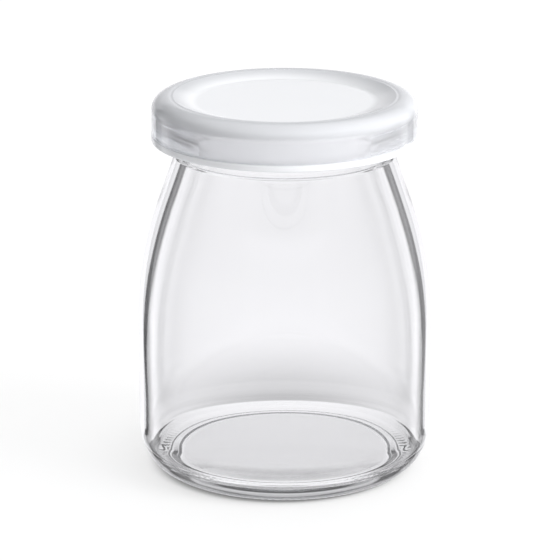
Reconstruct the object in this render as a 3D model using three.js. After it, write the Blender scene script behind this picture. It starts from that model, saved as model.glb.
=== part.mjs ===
// Dessert jar of clear glass with a press-on lid of milky plastic.
// Millimetres, +Z up. The origin is the centre of the ring that the jar stands on.
// Both pieces are turned shapes: each is one profile, swept once around the Z axis.

import * as THREE from 'three';

// Driving dimensions of the glass jar
const BODY_R = 35;                 // straight part of the wall, outside
const BODY_WALL = 2.07;            // glass thickness above the heel
const WALL_TAPER = 0.33;           // more glass at the neck than above the heel
const SHOULDER_EXTRA = 1.36;       // more glass again, from the straight wall to the shoulder
const SWELL_LOW_Z = 20.4;          // heights between which that glass comes in
const SWELL_HIGH_Z = 61.8;
const BEARING_OUT_R = 27.6;        // ring that touches the table
const BEARING_IN_R = 27;
const HEEL_H = 10.6;               // height at which the rounded heel becomes the straight wall
const SHOULDER_Z = 35;             // height at which the wall starts to lean in
const SHOULDER_ARC_R = 92;
const SHOULDER_LEAN = THREE.MathUtils.degToRad(19.2);   // lean at the end of the arc
const NECK_Z = 76.9;               // height at which the shoulder meets the upright neck

// Underside and inside floor
const STEP_R = 26;                 // inner edge of the step behind the bearing ring
const STEP_H = 0.3;
const PUNT_H = 0.7;                // height of the hollow underside at the middle
const FLOOR_Z = 4.4;               // inside floor, where it curves up into the wall
const FLOOR_MID_Z = 5.8;
const INNER_FOOT_ROUND = 4;

// Mouth of the jar, which the lid presses over
const FINISH_R = 29.1;
const FINISH_LOW_Z = 80.7;         // underside of the bead, at the neck
const FINISH_BEAD_Z = 83;          // lowest point of the bead's upright face
const FINISH_TOP_Z = 87.4;
const FINISH_OUT_ROUND = 1.3;
const MOUTH_R = 22.6;
const MOUTH_ROUND = 1.2;

// Driving dimensions of the lid
const CLEARANCE = 0.3;             // air gap between the lid and the glass
const LID_R = 31.4;
const LID_TOP_Z = 90.6;
const LID_LOW_Z = 80.1;
const LID_EDGE_W = 4.2;            // rounded edge between the top and the skirt
const LID_EDGE_H = 3.1;
const HEM_W = 0.6;                 // rounded lower edge of the skirt
const HEM_H = 0.9;
const RECESS_EDGE_R = 26.2;        // the top is a rim around a shallow recess
const RECESS_FLOOR_R = 21.3;
const RECESS_DEPTH = 1.4;
const LIP_R = 28.6;                // inward lip that catches under the bead
const LIP_FOOT_R = 29.2;
const LIP_ROUND_H = 0.6;
const LIP_TOP_Z = 81.4;
const LIP_SLOPE_H = 0.7;

// Fineness of the facets
const AROUND = 64;
const LONG_STEPS = 7;
const CORNER_STEPS = 3;

const RIGHT = Math.PI / 2;

// Points of an elliptic arc in the profile plane, from angle `from` to angle `to`.
function arc(centreR, centreZ, radiusR, radiusZ, from, to, steps) {
  return Array.from({ length: steps + 1 }, (_, i) => {
    const angle = from + (to - from) * i / steps;
    return new THREE.Vector2(
      centreR + radiusR * Math.cos(angle),
      centreZ + radiusZ * Math.sin(angle),
    );
  });
}

const point = (r, z) => new THREE.Vector2(r, z);

// Sweeps a profile that starts and ends on the axis once around Z.
function turned(name, profile, material) {
  const geometry = new THREE.LatheGeometry(profile, AROUND);
  geometry.rotateX(RIGHT);
  const mesh = new THREE.Mesh(geometry, material);
  mesh.name = name;
  return mesh;
}

// The outer wall leans in along a wide arc, then runs straight to the neck.
function shoulderOutside() {
  const bend = arc(BODY_R - SHOULDER_ARC_R, SHOULDER_Z, SHOULDER_ARC_R, SHOULDER_ARC_R,
    0, SHOULDER_LEAN, LONG_STEPS);
  const last = bend.at(-1);
  const neckR = last.x - (NECK_Z - last.y) * Math.tan(SHOULDER_LEAN);
  return [...bend, point(neckR, NECK_Z)];
}

// The inner wall follows the outer one, from the neck down. The glass thickens towards the shoulder.
function wallInside() {
  const straightWall = [point(BODY_R, SWELL_LOW_Z), point(BODY_R, (SWELL_LOW_Z + SHOULDER_Z) / 2)];
  return [...straightWall, ...shoulderOutside()].reverse().map(({ x, y }) => {
    const taper = WALL_TAPER * (y - HEEL_H) / (NECK_Z - HEEL_H);
    const extra = SHOULDER_EXTRA * THREE.MathUtils.smoothstep(y, SWELL_LOW_Z, SWELL_HIGH_Z);
    return point(x - BODY_WALL - taper - extra, y);
  });
}

function jarProfile() {
  const outside = shoulderOutside();
  const neckR = outside.at(-1).x;
  const innerR = BODY_R - BODY_WALL;
  const heelW = BODY_R - BEARING_OUT_R;
  return [
    // underside: hollow middle, step, flat bearing ring
    ...arc(0, STEP_H, STEP_R, PUNT_H - STEP_H, RIGHT, 0, CORNER_STEPS + 1),
    point(BEARING_IN_R, 0),
    // heel, wall, shoulder and neck
    ...arc(BEARING_OUT_R, HEEL_H, heelW, HEEL_H, -RIGHT, 0, LONG_STEPS),
    ...outside,
    // bead and rounded mouth
    ...arc(neckR, FINISH_BEAD_Z, FINISH_R - neckR, FINISH_BEAD_Z - FINISH_LOW_Z, -RIGHT, 0,
      CORNER_STEPS),
    ...arc(FINISH_R - FINISH_OUT_ROUND, FINISH_TOP_Z - FINISH_OUT_ROUND, FINISH_OUT_ROUND,
      FINISH_OUT_ROUND, 0, RIGHT, CORNER_STEPS),
    ...arc(MOUTH_R + MOUTH_ROUND, FINISH_TOP_Z - MOUTH_ROUND, MOUTH_ROUND, MOUTH_ROUND,
      RIGHT, 2 * RIGHT, CORNER_STEPS),
    // inside, down to the floor
    ...wallInside(),
    ...arc(innerR - INNER_FOOT_ROUND, FLOOR_Z + INNER_FOOT_ROUND, INNER_FOOT_ROUND, INNER_FOOT_ROUND,
      0, -RIGHT, LONG_STEPS),
    point(0, FLOOR_MID_Z),
  ];
}

function lidProfile() {
  const innerR = FINISH_R + CLEARANCE;
  const underZ = FINISH_TOP_Z + CLEARANCE;
  const cornerR = FINISH_OUT_ROUND + CLEARANCE;
  return [
    // underside of the plate and inside of the skirt
    point(0, underZ),
    ...arc(innerR - cornerR, underZ - cornerR, cornerR, cornerR, RIGHT, 0, CORNER_STEPS),
    point(innerR, LIP_TOP_Z + LIP_SLOPE_H),
    point(LIP_R, LIP_TOP_Z),
    point(LIP_R, LID_LOW_Z + LIP_ROUND_H),
    point(LIP_FOOT_R, LID_LOW_Z),
    // outside: hem, skirt and rounded edge
    ...arc(LID_R - HEM_W, LID_LOW_Z + HEM_H, HEM_W, HEM_H, -RIGHT, 0, CORNER_STEPS),
    ...arc(LID_R - LID_EDGE_W, LID_TOP_Z - LID_EDGE_H, LID_EDGE_W, LID_EDGE_H, 0, RIGHT,
      CORNER_STEPS + 1),
    // top: narrow rim around the recess
    point(RECESS_EDGE_R, LID_TOP_Z),
    point(RECESS_FLOOR_R, LID_TOP_Z - RECESS_DEPTH),
    point(0, LID_TOP_Z - RECESS_DEPTH),
  ];
}

const glass = new THREE.MeshStandardMaterial({
  color: 0xe9edee,
  roughness: 0.03,
  metalness: 0,
  transparent: true,
  opacity: 0.35,
});
const plastic = new THREE.MeshStandardMaterial({
  color: 0xeceef1,
  roughness: 0.32,
  metalness: 0,
});

const jar = new THREE.Group();
jar.add(turned('jar', jarProfile(), glass));
jar.add(turned('lid', lidProfile(), plastic));

export default jar;
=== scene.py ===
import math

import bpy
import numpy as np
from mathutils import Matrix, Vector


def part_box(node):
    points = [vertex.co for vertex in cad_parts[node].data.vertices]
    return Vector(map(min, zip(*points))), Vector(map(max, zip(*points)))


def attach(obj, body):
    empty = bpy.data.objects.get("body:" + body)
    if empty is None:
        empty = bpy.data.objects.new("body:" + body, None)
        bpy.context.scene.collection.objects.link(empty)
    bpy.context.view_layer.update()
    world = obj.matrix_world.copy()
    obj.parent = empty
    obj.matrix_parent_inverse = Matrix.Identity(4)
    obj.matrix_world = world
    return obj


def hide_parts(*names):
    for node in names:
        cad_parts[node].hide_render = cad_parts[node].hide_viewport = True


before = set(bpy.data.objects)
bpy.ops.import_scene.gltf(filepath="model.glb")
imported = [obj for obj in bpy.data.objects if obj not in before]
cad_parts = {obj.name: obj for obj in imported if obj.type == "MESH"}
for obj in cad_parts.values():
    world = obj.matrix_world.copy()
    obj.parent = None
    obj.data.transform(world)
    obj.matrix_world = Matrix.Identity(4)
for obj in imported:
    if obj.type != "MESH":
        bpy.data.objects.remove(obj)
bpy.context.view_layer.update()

# Dessert jar of clear pressed glass with a milky press-on lid, on a white studio floor.
# Profile sizes are in millimetres and become metres when a mesh is made. +Z is up, and the
# jar stands on z = 0 with its axis on Z. The camera looks along +Y.

MM = 0.001
RIGHT = math.pi / 2

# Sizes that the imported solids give
BODY_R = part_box("jar")[1].x / MM
JAR_TOP_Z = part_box("jar")[1].z / MM
LID_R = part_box("lid")[1].x / MM
LID_TOP_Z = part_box("lid")[1].z / MM
LID_LOW_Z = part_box("lid")[0].z / MM

# Glass wall: its thickness above the heel, what it gains evenly up to the neck, and what it
# gains besides, between two heights
BODY_WALL = 2.07
WALL_TAPER = 0.33
SHOULDER_EXTRA = 1.36
SWELL_FROM_Z = 20.4
SWELL_TO_Z = 61.8

# Shoulder and neck, with a creased parting line where they meet
SHOULDER_Z = 35.0
SHOULDER_ARC_R = 92.0
SHOULDER_LEAN = math.radians(19.2)
NECK_Z = 76.9
NECK_ROUND = 0.9
PARTING_DEPTH = 0.5
PARTING_W = 0.28

# Heel, bearing ring, and the groove around the hollow underside
HEEL_H = 10.6
HEEL_RIPPLE = 0.02
HEEL_RIPPLES = 6
BEARING_OUT_R = 27.6
BEARING_IN_R = 27.3
GROOVE_IN_R = 25.4
GROOVE_MID_R = 26.5
GROOVE_OUT_R = 27.0
GROOVE_Z = 0.46
GROOVE_ROUND = 0.12
PUNT_EDGE_Z = 0.26
PUNT_H = 0.5

# Inside floor, with a fine line sunk into the curve around it
FLOOR_Z = 4.4
FLOOR_MID_Z = 5.8
INNER_FOOT_ROUND = 4.0
FLOOR_LINE_R = 31.8
FLOOR_LINE_W = 0.3
FLOOR_LINE_DEPTH = 0.3

# Mouth, with the bead that the lid presses over
FINISH_R = 29.1
FINISH_LOW_Z = 80.7
FINISH_BEAD_Z = 83.0
FINISH_OUT_ROUND = 1.3
UNDER_BEAD_ROUND = 0.5
MOUTH_R = 22.6
MOUTH_ROUND = 1.2

# Knurled ring at the foot of the heel, which fades out at both edges
KNURL_BARS = 112
KNURL_DEPTH = 0.15
KNURL_FROM_R = 27.8
KNURL_FROM_FADE = 0.3
KNURL_TO_R = 30.2
KNURL_TO_FADE = 0.5

# Slow unevenness of the inner wall, as pressed and blown glass has. Each wave has its share of
# the depth, its number around the jar and its phase.
WAVE_DEPTH = 0.03
WAVES = ((0.6, 2, 0.7), (0.4, 3, 2.1))
WAVE_FROM_Z = 15.0
WAVE_FULL_Z = 30.0

# Top of the lid: a rim with a slight dip, around a shallow recess
CLEARANCE = 0.3
LID_EDGE_W = 4.2
LID_EDGE_H = 3.1
RIM_DIP = 0.1
RIM_DIP_ROUND = 0.2
RECESS_EDGE_R = 26.2
RECESS_EDGE_ROUND = 0.15
RECESS_FLOOR_R = 21.3
RECESS_FLOOR_ROUND = 0.9
RECESS_FLAT_IN = 1.0
RECESS_DEPTH = 1.4

# Skirt of the lid, the hem that stands proud of it, and the lip inside. The heights of the hem's
# slope and of the skirt's first points are above the hem.
SKIRT_TOP_Z = 86.4
SKIRT_FOOT_H = 0.25
SKIRT_ROWS_FROM_H = 0.4
HEM_H = 1.4
HEM_PROUD = 0.14
HEM_LOW_ROUND = 0.4
HEM_TOP_ROUND = 0.14
HEM_SLOPE_H = 0.2
LIP_R = 28.6
LIP_TOP_Z = 81.4
LIP_SLOPE_H = 0.7
LIP_TOP_ROUND = 0.3
LIP_FOOT_ROUND = 0.5

# Fineness of the meshes: columns around the axis, and points along each part of a profile
AROUND = 3 * KNURL_BARS
LID_AROUND = 256
SHADOW_AROUND = 96
SHADOW_EVERY = 4
TIGHT_POINTS = 5
BEND_POINTS = 8
CORNER_POINTS = 10
PLATE_POINTS = 12
FLOOR_POINTS = 14
BEAD_POINTS = 14
BEAD_POINTS_ROUNDED = 3
OUTER_WALL_POINTS = 8
INNER_WALL_POINTS = 14
SKIRT_POINTS = 10
PUNT_POINTS = 16
NECK_POINTS = 20
LID_EDGE_POINTS = 26
FOOT_POINTS = 28
SHOULDER_POINTS = 30
HEEL_POINTS = 42
# Points closer together than this are one
SAME_POINT = 1e-5

# Camera, fitted to the photograph's outline, for a square picture. The jar's axis lies a few
# pixels to the right of the picture's middle.
PICTURE_PX = 560
CAMERA_DISTANCE = 740 * MM
CAMERA_PITCH = math.radians(17.06)
CAMERA_TARGET_Z = 45.18 * MM
CAMERA_SENSOR_W = 36.0
PX_PER_MM = 4.19
AXIS_OFFSET_PX = 4.65


# Profiles

def smooth_step(low, high, value):
    """0 below low, 1 above high, and a smooth cubic between them."""
    t = np.clip((value - low) / (high - low), 0, 1)
    return t * t * (3 - 2 * t)


def bell(value, middle, width):
    """1 at the middle, falling off on both sides as exp of minus the square of distance over width."""
    return np.exp(-((value - middle) / width) ** 2)


def arc(centre, radii, start, stop, count):
    """Points of an ellipse's arc: centre plus radii times cosine and sine of evenly spaced angles."""
    angle = np.linspace(start, stop, count)
    return np.stack([centre[0] + radii[0] * np.cos(angle), centre[1] + radii[1] * np.sin(angle)], 1)


def straight(start, stop, count):
    """Points on the line from start to stop, closer together towards both ends."""
    share = 0.5 - 0.5 * np.cos(np.linspace(0, np.pi, count))[:, None]
    return np.asarray(start, float) * (1 - share) + np.asarray(stop, float) * share


def bend(before, corner, after, reach, count=BEND_POINTS):
    """Rounds a corner: a parabola that leaves each side at the distance reach from the corner."""
    before, corner, after = (np.asarray(p, float) for p in (before, corner, after))
    start = corner + (before - corner) * reach / np.linalg.norm(before - corner)
    stop = corner + (after - corner) * reach / np.linalg.norm(after - corner)
    t = np.linspace(0, 1, count)[:, None]
    return (1 - t) ** 2 * start + 2 * t * (1 - t) * corner + t ** 2 * stop


def joined(*runs):
    """One run of points from several, without points that repeat the one before."""
    points = np.concatenate([np.atleast_2d(run) for run in runs])
    step = np.linalg.norm(np.diff(points, axis=0), axis=1)
    return points[np.concatenate([[True], step > SAME_POINT])]


def shoulder_outside():
    """The wall's outside: an arc that leans in from the straight body, and the point at the neck to
    which it then runs straight."""
    leaning = arc((BODY_R - SHOULDER_ARC_R, SHOULDER_Z), (SHOULDER_ARC_R, SHOULDER_ARC_R),
                  0, SHOULDER_LEAN, SHOULDER_POINTS)
    r, z = leaning[-1]
    neck = (r - (NECK_Z - z) * math.tan(SHOULDER_LEAN), NECK_Z)
    return leaning, np.array(neck)


def underside():
    """Profile of the underside, from its middle to the bearing ring: a hollow that falls with the square
    of the radius, then a groove with rounded corners."""
    r = np.linspace(0, GROOVE_IN_R - GROOVE_ROUND, PUNT_POINTS)
    punt = np.stack([r, PUNT_H - (PUNT_H - PUNT_EDGE_Z) * (r / GROOVE_IN_R) ** 2], 1)
    corners = (
        punt[-2],
        (GROOVE_IN_R, PUNT_EDGE_Z),
        (GROOVE_MID_R, GROOVE_Z),
        (GROOVE_OUT_R, GROOVE_Z),
        (BEARING_IN_R, 0),
        (BEARING_OUT_R, 0),
    )
    groove = [bend(*three, GROOVE_ROUND, TIGHT_POINTS) for three in zip(corners, corners[1:], corners[2:])]
    ring = straight((BEARING_IN_R + GROOVE_ROUND, 0), (BEARING_OUT_R, 0), TIGHT_POINTS)
    return joined(punt, *groove, ring)


def jar_outside():
    """Outside profile, from the middle of the hollow underside to the top of the mouth. The heel is a
    quarter of an ellipse with fine ripples, and the parting line a bell-shaped crease."""
    leaning, neck = shoulder_outside()
    angle = np.linspace(-RIGHT, 0, HEEL_POINTS)[:, None]
    ripple = HEEL_RIPPLE * np.sin(2 * HEEL_RIPPLES * angle) ** 2
    heel = np.hstack([BEARING_OUT_R + (BODY_R - BEARING_OUT_R - ripple) * np.cos(angle),
                      HEEL_H + (HEEL_H - ripple) * np.sin(angle)])
    under_bead = (neck[0], FINISH_LOW_Z)
    round_neck = bend(leaning[-1], neck, under_bead, NECK_ROUND, NECK_POINTS)
    parting = round_neck - PARTING_DEPTH * bell(round_neck[:, 1:], NECK_Z, PARTING_W) * (1, 0)
    bead = arc((neck[0], FINISH_BEAD_Z), (FINISH_R - neck[0], FINISH_BEAD_Z - FINISH_LOW_Z),
               -RIGHT, 0, BEAD_POINTS)
    mouth = arc((FINISH_R - FINISH_OUT_ROUND, JAR_TOP_Z - FINISH_OUT_ROUND),
                (FINISH_OUT_ROUND, FINISH_OUT_ROUND), 0, RIGHT, CORNER_POINTS)
    return joined(
        underside(),
        heel,
        straight((BODY_R, HEEL_H), (BODY_R, SHOULDER_Z), OUTER_WALL_POINTS),
        leaning,
        parting,
        bend(neck, under_bead, (FINISH_R, FINISH_LOW_Z), UNDER_BEAD_ROUND),
        bead[BEAD_POINTS_ROUNDED:],
        mouth,
    )


def jar_inside():
    """Inside profile, from the mouth to the middle of the floor. The wall's thickness grows evenly with
    height, and swells smoothly by more glass towards the shoulder. The floor rises to its middle with
    the square of the radius, and the curve around it has a bell-shaped line sunk into it."""
    leaning, neck = shoulder_outside()
    upright = straight((BODY_R, FLOOR_Z + INNER_FOOT_ROUND), (BODY_R, SHOULDER_Z), INNER_WALL_POINTS)
    outside = np.vstack([upright[:-1], leaning, neck])[::-1]
    height = outside[:, 1]
    wall = BODY_WALL + WALL_TAPER * (height - HEEL_H) / (NECK_Z - HEEL_H)
    wall = wall + SHOULDER_EXTRA * smooth_step(SWELL_FROM_Z, SWELL_TO_Z, height)
    shell = np.stack([outside[:, 0] - wall, height], 1)
    inner_r = shell[-1, 0]
    lip = arc((MOUTH_R + MOUTH_ROUND, JAR_TOP_Z - MOUTH_ROUND), (MOUTH_ROUND, MOUTH_ROUND),
              RIGHT, 2 * RIGHT, CORNER_POINTS)
    curve = bend((inner_r, SHOULDER_Z), (inner_r, FLOOR_Z), (0, FLOOR_Z), INNER_FOOT_ROUND, FOOT_POINTS)
    inward = np.gradient(curve, axis=0)[:, ::-1] * (1, -1)
    inward = inward / np.linalg.norm(inward, axis=1, keepdims=True)
    curve = curve - FLOOR_LINE_DEPTH * bell(curve[:, :1], FLOOR_LINE_R, FLOOR_LINE_W) * inward
    r = np.linspace(inner_r - INNER_FOOT_ROUND, 0, FLOOR_POINTS)
    floor = np.stack([r, FLOOR_Z + (FLOOR_MID_Z - FLOOR_Z) * (1 - (r / r[0]) ** 2)], 1)
    return joined(
        lip,
        bend(lip[-1], shell[0], shell[1], NECK_ROUND, CORNER_POINTS),
        shell[1:],
        curve,
        floor,
    )


def lid_profile():
    """Lid profile, from the middle of its underside, round the skirt, to the middle of the recess: lines
    with rounded corners, and a quarter of an ellipse between the skirt and the top."""
    inner_r = FINISH_R + CLEARANCE
    under_z = JAR_TOP_Z + CLEARANCE
    corner = FINISH_OUT_ROUND + CLEARANCE
    skirt_r = LID_R - HEM_PROUD
    hem_z = LID_LOW_Z + HEM_H
    edge_r = LID_R - LID_EDGE_W
    recess_z = LID_TOP_Z - RECESS_DEPTH
    lip_slope = (inner_r, LIP_TOP_Z + LIP_SLOPE_H)
    lip_top = (LIP_R, LIP_TOP_Z)
    lip_foot = (LIP_R, LID_LOW_Z)
    hem_low = (LID_R, LID_LOW_Z)
    hem_top = (LID_R, hem_z)
    crest = (edge_r, LID_TOP_Z)
    dip = (0.5 * (edge_r + RECESS_EDGE_R), LID_TOP_Z - RIM_DIP)
    recess_edge = (RECESS_EDGE_R, LID_TOP_Z)
    recess = (RECESS_FLOOR_R, recess_z)
    centre = (0, recess_z)
    edge = arc((edge_r, LID_TOP_Z - LID_EDGE_H), (skirt_r - edge_r, LID_EDGE_H), 0, RIGHT, LID_EDGE_POINTS)
    return joined(
        straight((0, under_z), (inner_r - corner, under_z), PLATE_POINTS),
        arc((inner_r - corner, under_z - corner), (corner, corner), RIGHT, 0, CORNER_POINTS),
        lip_slope,
        bend(lip_slope, lip_top, lip_foot, LIP_TOP_ROUND),
        bend(lip_top, lip_foot, hem_low, LIP_FOOT_ROUND),
        bend(lip_foot, hem_low, hem_top, HEM_LOW_ROUND),
        bend(hem_low, hem_top, (skirt_r, hem_z + HEM_SLOPE_H), HEM_TOP_ROUND),
        (skirt_r, hem_z + SKIRT_FOOT_H),
        straight((skirt_r, hem_z + SKIRT_ROWS_FROM_H), edge[0], SKIRT_POINTS),
        edge,
        bend(crest, dip, recess_edge, RIM_DIP_ROUND, TIGHT_POINTS),
        bend(dip, recess_edge, recess, RECESS_EDGE_ROUND, TIGHT_POINTS),
        bend(recess_edge, recess, centre, RECESS_FLOOR_ROUND, PLATE_POINTS),
        straight((RECESS_FLOOR_R - RECESS_FLAT_IN, recess_z), centre, PLATE_POINTS),
    )


# Meshes

def smooth_mesh(name, points, faces):
    """A smooth-shaded object, in metres, from an array of points and a list of faces."""
    mesh = bpy.data.meshes.new(name)
    mesh.from_pydata(points.tolist(), [], faces)
    mesh.polygons.foreach_set("use_smooth", np.ones(len(mesh.polygons), bool))
    mesh.update()
    thing = bpy.data.objects.new(name, mesh)
    bpy.context.scene.collection.objects.link(thing)
    return thing


def full_turn(count):
    """A row of evenly spaced angles around the axis."""
    return np.linspace(0, 2 * math.pi, count, endpoint=False)[None, :]


def carried(profile, angle):
    """Grids of radius and height: one row per profile point, and the same in each angle's column."""
    return profile[:, :1] + 0 * angle, profile[:, 1:] + 0 * angle


def turned(name, r, z, angle):
    """A closed turned mesh from grids of radius and height, one row per profile point and one
    column per angle: x = r cos angle, y = r sin angle. The first and last rows close in a point."""
    rows, columns = r.shape
    grid = np.stack([r * np.cos(angle), r * np.sin(angle), z], -1).reshape(-1, 3)
    poles = np.array([[0, 0, z[0].mean()], [0, 0, z[-1].mean()]])
    points = np.vstack([grid[columns:-columns], poles]) * MM
    low_pole, high_pole = len(points) - 2, len(points) - 1
    row = np.arange(rows - 3)[:, None] * columns
    here = np.arange(columns)[None, :]
    after = (here + 1) % columns
    quads = np.stack([row + here, row + after, row + columns + after, row + columns + here], -1)
    last = (rows - 3) * columns
    low_fan = np.stack([np.full(columns, low_pole), after[0], here[0]], -1)
    high_fan = np.stack([np.full(columns, high_pole), last + here[0], last + after[0]], -1)
    return smooth_mesh(name, points, quads.reshape(-1, 4).tolist() + low_fan.tolist() + high_fan.tolist())


def grid_mesh(name, u_count, v_count, place):
    """A grid surface: place(u, v) gives x, y, z for parameters from 0 to 1."""
    u, v = np.meshgrid(np.linspace(0, 1, u_count), np.linspace(0, 1, v_count))
    points = np.stack(place(u, v), -1).reshape(-1, 3)
    corner = (np.arange(v_count - 1)[:, None] * u_count + np.arange(u_count - 1)[None, :]).ravel()
    quads = np.stack([corner, corner + 1, corner + u_count + 1, corner + u_count], -1)
    return smooth_mesh(name, points, quads.tolist())


def level_square(name, half, z):
    """A level square around the jar's axis: x and y run from -half to half, at the height z."""
    return grid_mesh(name, 2, 2, lambda u, v: (half * (2 * u - 1), half * (2 * v - 1), z + 0 * u))


def jar_mesh():
    """The glass: its outside profile with the knurl, a cosine of the angle, pressed into the foot of the
    heel, and its inside profile with slow waves of the wall, a sum of cosines of the angle."""
    angle = full_turn(AROUND)
    r_out, z_out = carried(jar_outside(), angle)
    r_in, z_in = carried(jar_inside(), angle)
    ring = smooth_step(KNURL_FROM_R - KNURL_FROM_FADE, KNURL_FROM_R + KNURL_FROM_FADE, r_out)
    ring = ring * (1 - smooth_step(KNURL_TO_R - KNURL_TO_FADE, KNURL_TO_R + KNURL_TO_FADE, r_out))
    bars = 0.5 - 0.5 * np.cos(KNURL_BARS * angle + RIGHT / 2)
    z_out = z_out + KNURL_DEPTH * ring * (z_out < HEEL_H) * bars
    wave = sum(share * np.cos(number * angle + phase) for share, number, phase in WAVES)
    reach = smooth_step(WAVE_FROM_Z, WAVE_FULL_Z, z_in) * (1 - smooth_step(SHOULDER_Z, NECK_Z, z_in))
    r_in = r_in + WAVE_DEPTH * wave * reach
    return turned("glass_jar", np.vstack([r_out, r_in]), np.vstack([z_out, z_in]), angle)


def lid_mesh():
    """The lid: its profile carried around the axis without change."""
    angle = full_turn(LID_AROUND)
    return turned("press_lid", *carried(lid_profile(), angle), angle)


# Shader nodes

class Value:
    """A shader socket on which Python arithmetic adds Math nodes."""

    def __init__(self, tree, socket):
        self.tree = tree
        self.socket = socket

    def __add__(self, other):
        return self.tree.maths("ADD", self, other)

    def __sub__(self, other):
        return self.tree.maths("SUBTRACT", self, other)

    def __mul__(self, other):
        return self.tree.maths("MULTIPLY", self, other)

    def __truediv__(self, other):
        return self.tree.maths("DIVIDE", self, other)

    def __rsub__(self, other):
        return self.tree.maths("SUBTRACT", other, self)

    def __rtruediv__(self, other):
        return self.tree.maths("DIVIDE", other, self)

    def __abs__(self):
        return self.tree.maths("ABSOLUTE", self)

    __radd__ = __add__
    __rmul__ = __mul__


class Tree:
    """The node tree of a material or a world."""

    def __init__(self, owner):
        owner.use_nodes = True
        self.nodes = owner.node_tree.nodes
        self.links = owner.node_tree.links
        self.nodes.clear()

    def node(self, kind, settings=None, sockets=None, output=0):
        """Adds a node: its settings first, then values or links for its sockets. Gives one output."""
        node = self.nodes.new(kind)
        for key, value in (settings or {}).items():
            if key == "stops":
                self.set_stops(node.color_ramp, value)
            else:
                setattr(node, key, value)
        for key, value in (sockets or {}).items():
            if isinstance(value, Value):
                self.links.new(value.socket, node.inputs[key])
            else:
                node.inputs[key].default_value = value
        return Value(self, node.outputs[output]) if node.outputs else node

    @staticmethod
    def set_stops(ramp, stops):
        """Gives a ramp its stops, each a place and a grey."""
        while len(ramp.elements) < len(stops):
            ramp.elements.new(1.0)
        for element, (place, grey) in zip(ramp.elements, stops):
            element.position = place
            element.color = (grey, grey, grey, 1)

    def maths(self, operation, *values):
        """A Math node on one or two values."""
        return self.node("ShaderNodeMath", {"operation": operation}, dict(enumerate(values)))

    def place(self, coordinates="Object"):
        """The x, y and z of a point."""
        point = self.node("ShaderNodeTexCoord", output=coordinates)
        return [self.node("ShaderNodeSeparateXYZ", {}, {"Vector": point}, axis) for axis in "XYZ"]

    def length(self, x, y):
        """The length of a flat vector: the root of x squared plus y squared."""
        return self.maths("SQRT", x * x + y * y)

    def step(self, value, low, high, before=0.0, after=1.0):
        """A smooth step from before to after, while the value goes from low to high."""
        return self.node("ShaderNodeMapRange", {"interpolation_type": "SMOOTHSTEP"}, {
            "Value": value, "From Min": low, "From Max": high, "To Min": before, "To Max": after})

    def ramp(self, share, stops):
        """A grey that runs straight from stop to stop."""
        return self.node("ShaderNodeValToRGB", {"stops": stops}, {"Fac": share})

    def mix(self, factor, a, b, blend="MIX"):
        """Two colours, mixed or blended by a factor."""
        return self.node("ShaderNodeMix", {"data_type": "RGBA", "blend_type": blend},
                         {"Factor": factor, "A": a, "B": b}, "Result")

    def noise(self, scale, detail):
        """Soft noise through the piece."""
        point = self.node("ShaderNodeTexCoord", output="Object")
        return self.node("ShaderNodeTexNoise", {}, {"Vector": point, "Scale": scale, "Detail": detail})

    def bump(self, height, strength, distance):
        """The normal of a surface that a height raises."""
        return self.node("ShaderNodeBump", {}, {
            "Height": height, "Strength": strength, "Distance": distance})

    def veil(self, density):
        """A surface of black without gloss, which hides as much as the density says."""
        return self.node("ShaderNodeBsdfPrincipled", {}, {
            "Base Color": (0, 0, 0, 1),
            "Specular IOR Level": 0.0,
            "Alpha": density,
        })

    def finish(self, surface, **more):
        """The material's output."""
        self.node("ShaderNodeOutputMaterial", {}, {"Surface": surface, **more})


# Materials of the jar and the lid

GLASS_IOR = 1.52
GLASS_DENSITY = 4.5
DEEP_GLASS_COLOUR = (0, 0.01, 0.015, 1)
RIPPLE_SCALE = 60.0
RIPPLE_DETAIL = 1.0
RIPPLE_STRENGTH = 0.015
RIPPLE_HEIGHT = 2 * MM


def glass_material():
    """Clear glass with very slight ripples in its surface, greyer where it is thick."""
    material = bpy.data.materials.new("clear_glass")
    tree = Tree(material)
    surface = tree.node("ShaderNodeBsdfPrincipled", {}, {
        "Base Color": (1, 1, 1, 1),
        "Roughness": 0.0,
        "IOR": GLASS_IOR,
        "Transmission Weight": 1.0,
        "Normal": tree.bump(tree.noise(RIPPLE_SCALE, RIPPLE_DETAIL), RIPPLE_STRENGTH, RIPPLE_HEIGHT),
    })
    depth = tree.node("ShaderNodeVolumeAbsorption", {}, {
        "Color": DEEP_GLASS_COLOUR,
        "Density": GLASS_DENSITY,
    })
    tree.finish(surface, Volume=depth)
    return material


PLASTIC_IOR = 1.5
# The rim's grey is painted shade from the glass behind it, and the plate's white is painted light from
# below
RIM_SHADED_COLOUR = (0.68, 0.69, 0.715, 1)
PLATE_LIT_COLOUR = (0.93, 0.94, 0.96, 1)
SKIRT_COLOUR = (0.84, 0.845, 0.865, 1)
HEM_WHITENESS = 0.6
HEM_FADE_H = 0.3
MILKY_ROUGHNESS = 0.09
SKIRT_ROUGHNESS = 0.07
ROUGHNESS_SPREAD = 0.06
MILKY_CLARITY = 0.1
SKIRT_CLARITY = 0.72
CLOUD_SCALE = 90.0
CLOUD_DETAIL = 3.0
GRAIN_SCALE = 1500.0
GRAIN_DETAIL = 2.0
GRAIN_STRENGTH = 0.015
GRAIN_HEIGHT = 0.3 * MM


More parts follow.
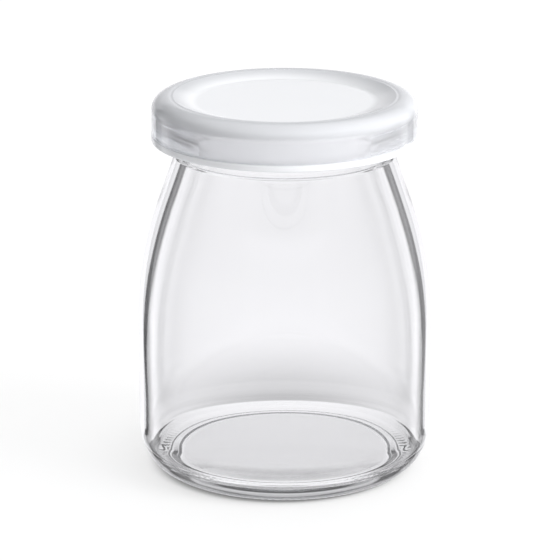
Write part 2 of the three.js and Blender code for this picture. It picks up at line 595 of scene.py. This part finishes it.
def plastic_material():
    """Milky polyethylene. Its colour holds painted light in the recess, a thin plate that light fills from
    below, and painted shade on the rim, which the glass behind darkens. It is milky in the thick hem. The
    skirt between them is clearer, and the glass behind it shows."""
    material = bpy.data.materials.new("milky_plastic")
    tree = Tree(material)
    x, y, z = tree.place()
    cloud = tree.noise(CLOUD_SCALE, CLOUD_DETAIL)
    grain = tree.bump(tree.noise(GRAIN_SCALE, GRAIN_DETAIL), GRAIN_STRENGTH, GRAIN_HEIGHT)
    hem_z = LID_LOW_Z + HEM_H
    plate = tree.step(tree.length(x, y), RECESS_FLOOR_R * MM, RECESS_EDGE_R * MM, 1.0, 0.0)
    top = tree.step(z, SKIRT_TOP_Z * MM, (LID_TOP_Z - RECESS_DEPTH) * MM)
    hem = tree.step(z, hem_z * MM, (hem_z + HEM_FADE_H) * MM, 1.0, 0.0)
    # Share of the lighter colour: painted light in the recess plate, and the hem's own milkiness
    lit_plate_and_milky_hem = tree.maths("MAXIMUM", plate, HEM_WHITENESS * hem)
    milky = tree.node("ShaderNodeBsdfPrincipled", {}, {
        "Base Color": tree.mix(lit_plate_and_milky_hem, RIM_SHADED_COLOUR, PLATE_LIT_COLOUR),
        "Roughness": MILKY_ROUGHNESS + ROUGHNESS_SPREAD * cloud,
        "IOR": PLASTIC_IOR,
        "Transmission Weight": MILKY_CLARITY,
        "Normal": grain,
    })
    clearer = tree.node("ShaderNodeBsdfPrincipled", {}, {
        "Base Color": SKIRT_COLOUR,
        "Roughness": SKIRT_ROUGHNESS + ROUGHNESS_SPREAD * cloud,
        "IOR": PLASTIC_IOR,
        "Transmission Weight": SKIRT_CLARITY,
        "Normal": grain,
    })
    milkiness = tree.maths("MAXIMUM", top, hem)
    tree.finish(tree.node("ShaderNodeMixShader", {}, {"Fac": milkiness, 1: clearer, 2: milky}))
    return material


# Stage, with places and sizes in metres

def hide_from(thing, *rays):
    """Hides an object or a light from some kinds of rays."""
    for ray in rays:
        setattr(thing, "visible_" + ray, False)


def make_camera():
    """A camera on the photograph's viewing angle, aimed at the jar's axis."""
    data = bpy.data.cameras.new("camera")
    data.sensor_width = CAMERA_SENSOR_W
    focal_px = PX_PER_MM / MM * CAMERA_DISTANCE
    data.lens = data.sensor_width * focal_px / PICTURE_PX
    data.shift_x = -AXIS_OFFSET_PX / PICTURE_PX
    camera = bpy.data.objects.new("camera", data)
    back = Vector((0, -math.cos(CAMERA_PITCH), math.sin(CAMERA_PITCH)))
    camera.location = Vector((0, 0, CAMERA_TARGET_Z)) + CAMERA_DISTANCE * back
    camera.rotation_euler = (RIGHT - CAMERA_PITCH, 0, 0)
    bpy.context.scene.collection.objects.link(camera)
    bpy.context.scene.camera = camera
    bpy.context.view_layer.update()
    return camera


DOME_R = 2.5
DOME_COLUMNS = 97
DOME_ROWS = 49
DOME_STRENGTH = 1.2
DOME_TINT = (0.995, 0.993, 1.02, 1)
# Brightness around the dome by the angle off straight ahead, in degrees: the middle, a dark strip,
# a side light, a second dark strip, and the space behind the camera
DOME_BY_ANGLE = (
    (0, 0.81), (8, 0.81), (16, 0.86), (30.5, 0.88), (32.3, 0.55),
    (33.5, 0.03), (38.5, 0.02), (40.5, 0.14), (46, 0.16),
    (50, 0.9), (57, 0.95), (62, 0.45),
    (67, 0.1), (74, 0.12), (84, 0.4),
    (110, 0.55), (150, 0.7), (180, 0.7),
)
# The same by height: the sine of the angle above the horizon
DOME_BY_HEIGHT = (
    (-1, 0.95), (-0.35, 1), (0.03, 1), (0.12, 0.7), (0.2, 0.65), (0.32, 0.6),
    (0.38, 0.04), (0.62, 0.04), (0.75, 0.4), (1, 0.4),
)
# Least brightness of the dome's right side, which comes in over a share of the radius
RIGHT_FILL = 0.16
RIGHT_FILL_TO = 0.3
# Far up and down, between these heights, the strips fade into one even brightness
EVEN_FROM = 0.55
EVEN_TO = 0.85
EVEN_COLOUR = (0.95, 0.95, 0.95, 1)


def dome_material():
    """Light seen in the glass: a bright middle, dark strips beside it, then side lights. It depends on the
    angle from straight ahead, atan2(x, y), evens out far up and down, and is scaled by the height."""
    material = bpy.data.materials.new("studio_dome")
    tree = Tree(material)
    x, y, z = tree.place()
    angle = abs(tree.maths("ARCTAN2", x, y))
    height = z / DOME_R
    strips = tree.ramp(angle / math.pi, [(degrees / 180, grey) for degrees, grey in DOME_BY_ANGLE])
    fill = tree.step(x / DOME_R, 0.0, RIGHT_FILL_TO, 0.0, RIGHT_FILL)
    strips = tree.mix(1.0, strips, fill, "LIGHTEN")
    strips = tree.mix(tree.step(abs(height), EVEN_FROM, EVEN_TO), strips, EVEN_COLOUR)
    levels = tree.ramp(0.5 + 0.5 * height, [(0.5 + 0.5 * level, grey) for level, grey in DOME_BY_HEIGHT])
    light = tree.mix(1.0, strips, levels, "MULTIPLY")
    tree.finish(tree.node("ShaderNodeBsdfPrincipled", {}, {
        "Base Color": (0, 0, 0, 1),
        "Specular IOR Level": 0.0,
        "Emission Color": tree.mix(1.0, light, DOME_TINT, "MULTIPLY"),
        "Emission Strength": DOME_STRENGTH,
    }))
    material.cycles.emission_sampling = "NONE"
    return material


def make_dome(camera):
    """A sphere of light around the jar that only glass and gloss see. It turns with the camera,
    as when the jar stands on a turntable."""
    dome = grid_mesh("studio_dome", DOME_COLUMNS, DOME_ROWS, lambda u, v: (
        DOME_R * np.sin(np.pi * v) * np.cos(2 * np.pi * u),
        DOME_R * np.sin(np.pi * v) * np.sin(2 * np.pi * u),
        DOME_R * np.cos(np.pi * v),
    ))
    dome.location = (0, 0, CAMERA_TARGET_Z)
    dome.data.materials.append(dome_material())
    dome.parent = camera
    dome.matrix_parent_inverse = camera.matrix_world.inverted()
    hide_from(dome, "camera", "diffuse", "shadow")


FLOOR_HALF = 4.0
FLOOR_PLANE_Z = -0.1 * MM
FLOOR_COLOUR = (0.92, 0.92, 0.92, 1)
FLOOR_ROUGHNESS = 0.9


def make_floor():
    """A plain pale floor. Glass and gloss see the dome instead of it."""
    floor = level_square("floor", FLOOR_HALF, FLOOR_PLANE_Z)
    material = bpy.data.materials.new("white_floor")
    tree = Tree(material)
    tree.finish(tree.node("ShaderNodeBsdfPrincipled", {}, {
        "Base Color": FLOOR_COLOUR,
        "Roughness": FLOOR_ROUGHNESS,
        "Specular IOR Level": 0.0,
    }))
    floor.data.materials.append(material)
    hide_from(floor, "transmission", "glossy")


SHADE_REACH = 150 * MM
SHADE_PLANE_Z = -0.05 * MM
SHADE_CENTRE_Y = 42 * MM
SHADE_HALF_X = 50 * MM
SHADE_HALF_Y = 72 * MM
SHADE_DARK = 0.44
# The shade behind the jar starts outside the base
SHADE_CLEAR_R = 36 * MM
SHADE_FULL_R = 50 * MM
# The shade below the base
CONTACT_DARK = 0.02
CONTACT_FROM_R = 20 * MM
CONTACT_TO_R = 30 * MM


def make_shade():
    """The soft shadows on the floor below and behind the jar, which show only through the glass. They
    are as dense as a smooth fall-off from an ellipse's centre plus one from the jar's axis."""
    shade = level_square("floor_shade", SHADE_REACH, SHADE_PLANE_Z)
    material = bpy.data.materials.new("floor_shade")
    tree = Tree(material)
    x, y, _ = tree.place()
    radius = tree.length(x, y)
    distance = tree.length(x / SHADE_HALF_X, (y - SHADE_CENTRE_Y) / SHADE_HALF_Y)
    behind = tree.step(distance, 0.0, 1.0, SHADE_DARK, 0.0) * tree.step(radius, SHADE_CLEAR_R, SHADE_FULL_R)
    contact = tree.step(radius, CONTACT_FROM_R, CONTACT_TO_R, CONTACT_DARK, 0.0)
    tree.finish(tree.veil(behind + contact))
    shade.data.materials.append(material)
    hide_from(shade, "camera", "diffuse", "glossy", "shadow")


WALL_SHADOW = 0.055
BASE_SHADOW = 0.18
BASE_SHADOW_Z = 14 * MM
FOOT_SHADOW = 0.6
FOOT_SHADOW_Z = 1.6 * MM


def make_jar_shadow():
    """Glass lets most light through, so a faint stand-in of the jar's outside casts its shadow. It is
    denser towards the thick base, and only shadow and matt rays see it."""
    angle = full_turn(SHADOW_AROUND)
    stand_in = turned("jar_shadow", *carried(jar_outside()[::SHADOW_EVERY], angle), angle)
    material = bpy.data.materials.new("jar_shadow")
    tree = Tree(material)
    _, _, z = tree.place()
    base = tree.step(z, 0.0, BASE_SHADOW_Z, BASE_SHADOW, WALL_SHADOW)
    foot = tree.step(z, 0.0, FOOT_SHADOW_Z, FOOT_SHADOW, 0.0)
    tree.finish(tree.veil(base + foot))
    stand_in.data.materials.append(material)
    hide_from(stand_in, "camera", "glossy", "transmission")


# Soft light on matt surfaces: its share from the left, and its strengths in front and behind, with
# the parts of the direction between which each changes
WORLD_LEFT = 0.4
WORLD_LEFT_X = -0.9
WORLD_EVEN_X = 0.1
WORLD_FRONT = 0.56
WORLD_FRONT_Y = -0.8
WORLD_BACK = 0.8
WORLD_BACK_Y = 0.6


def make_world():
    """White behind the jar for the camera. Matt surfaces get a soft light that is dimmer in front and
    on the left."""
    world = bpy.data.worlds.new("studio")
    bpy.context.scene.world = world
    tree = Tree(world)
    x, y, _ = tree.place("Generated")
    side = tree.step(x, WORLD_LEFT_X, WORLD_EVEN_X, WORLD_LEFT, 1.0)
    share = tree.step(y, WORLD_FRONT_Y, WORLD_BACK_Y, WORLD_FRONT, WORLD_BACK)
    seen = tree.node("ShaderNodeLightPath", output="Is Camera Ray")
    strength = seen + (1 - seen) * share * side
    light = tree.node("ShaderNodeBackground", {}, {"Color": (1, 1, 1, 1), "Strength": strength})
    tree.node("ShaderNodeOutputWorld", {}, {"Surface": light})


KEY_STRENGTH = 3.15
KEY_WIDTH = math.radians(32)
KEY_FROM = Vector((0.9, -0.45, 0.65))


def make_key():
    """One wide soft light from the upper right, which gives the soft shadow on the left."""
    data = bpy.data.lights.new("key", "SUN")
    data.energy = KEY_STRENGTH
    data.angle = KEY_WIDTH
    key = bpy.data.objects.new("key", data)
    key.rotation_mode = "QUATERNION"
    key.rotation_quaternion = (-KEY_FROM).to_track_quat("-Z", "Y")
    hide_from(key, "glossy", "transmission")
    bpy.context.scene.collection.objects.link(key)


# Scene

make_dome(make_camera())
make_floor()
make_shade()
make_jar_shadow()
make_world()
make_key()

jar = jar_mesh()
jar.data.materials.append(glass_material())
hide_from(jar, "shadow", "diffuse")
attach(jar, "root")
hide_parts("jar")

lid = lid_mesh()
lid.data.materials.append(plastic_material())
hide_from(lid, "shadow")
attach(lid, "root")
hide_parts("lid")

scene = bpy.context.scene
scene.view_settings.view_transform = "Standard"
scene.cycles.max_bounces = 32
scene.cycles.transmission_bounces = 32
scene.cycles.glossy_bounces = 16
scene.cycles.transparent_max_bounces = 16
scene.cycles.sample_clamp_indirect = 4.0
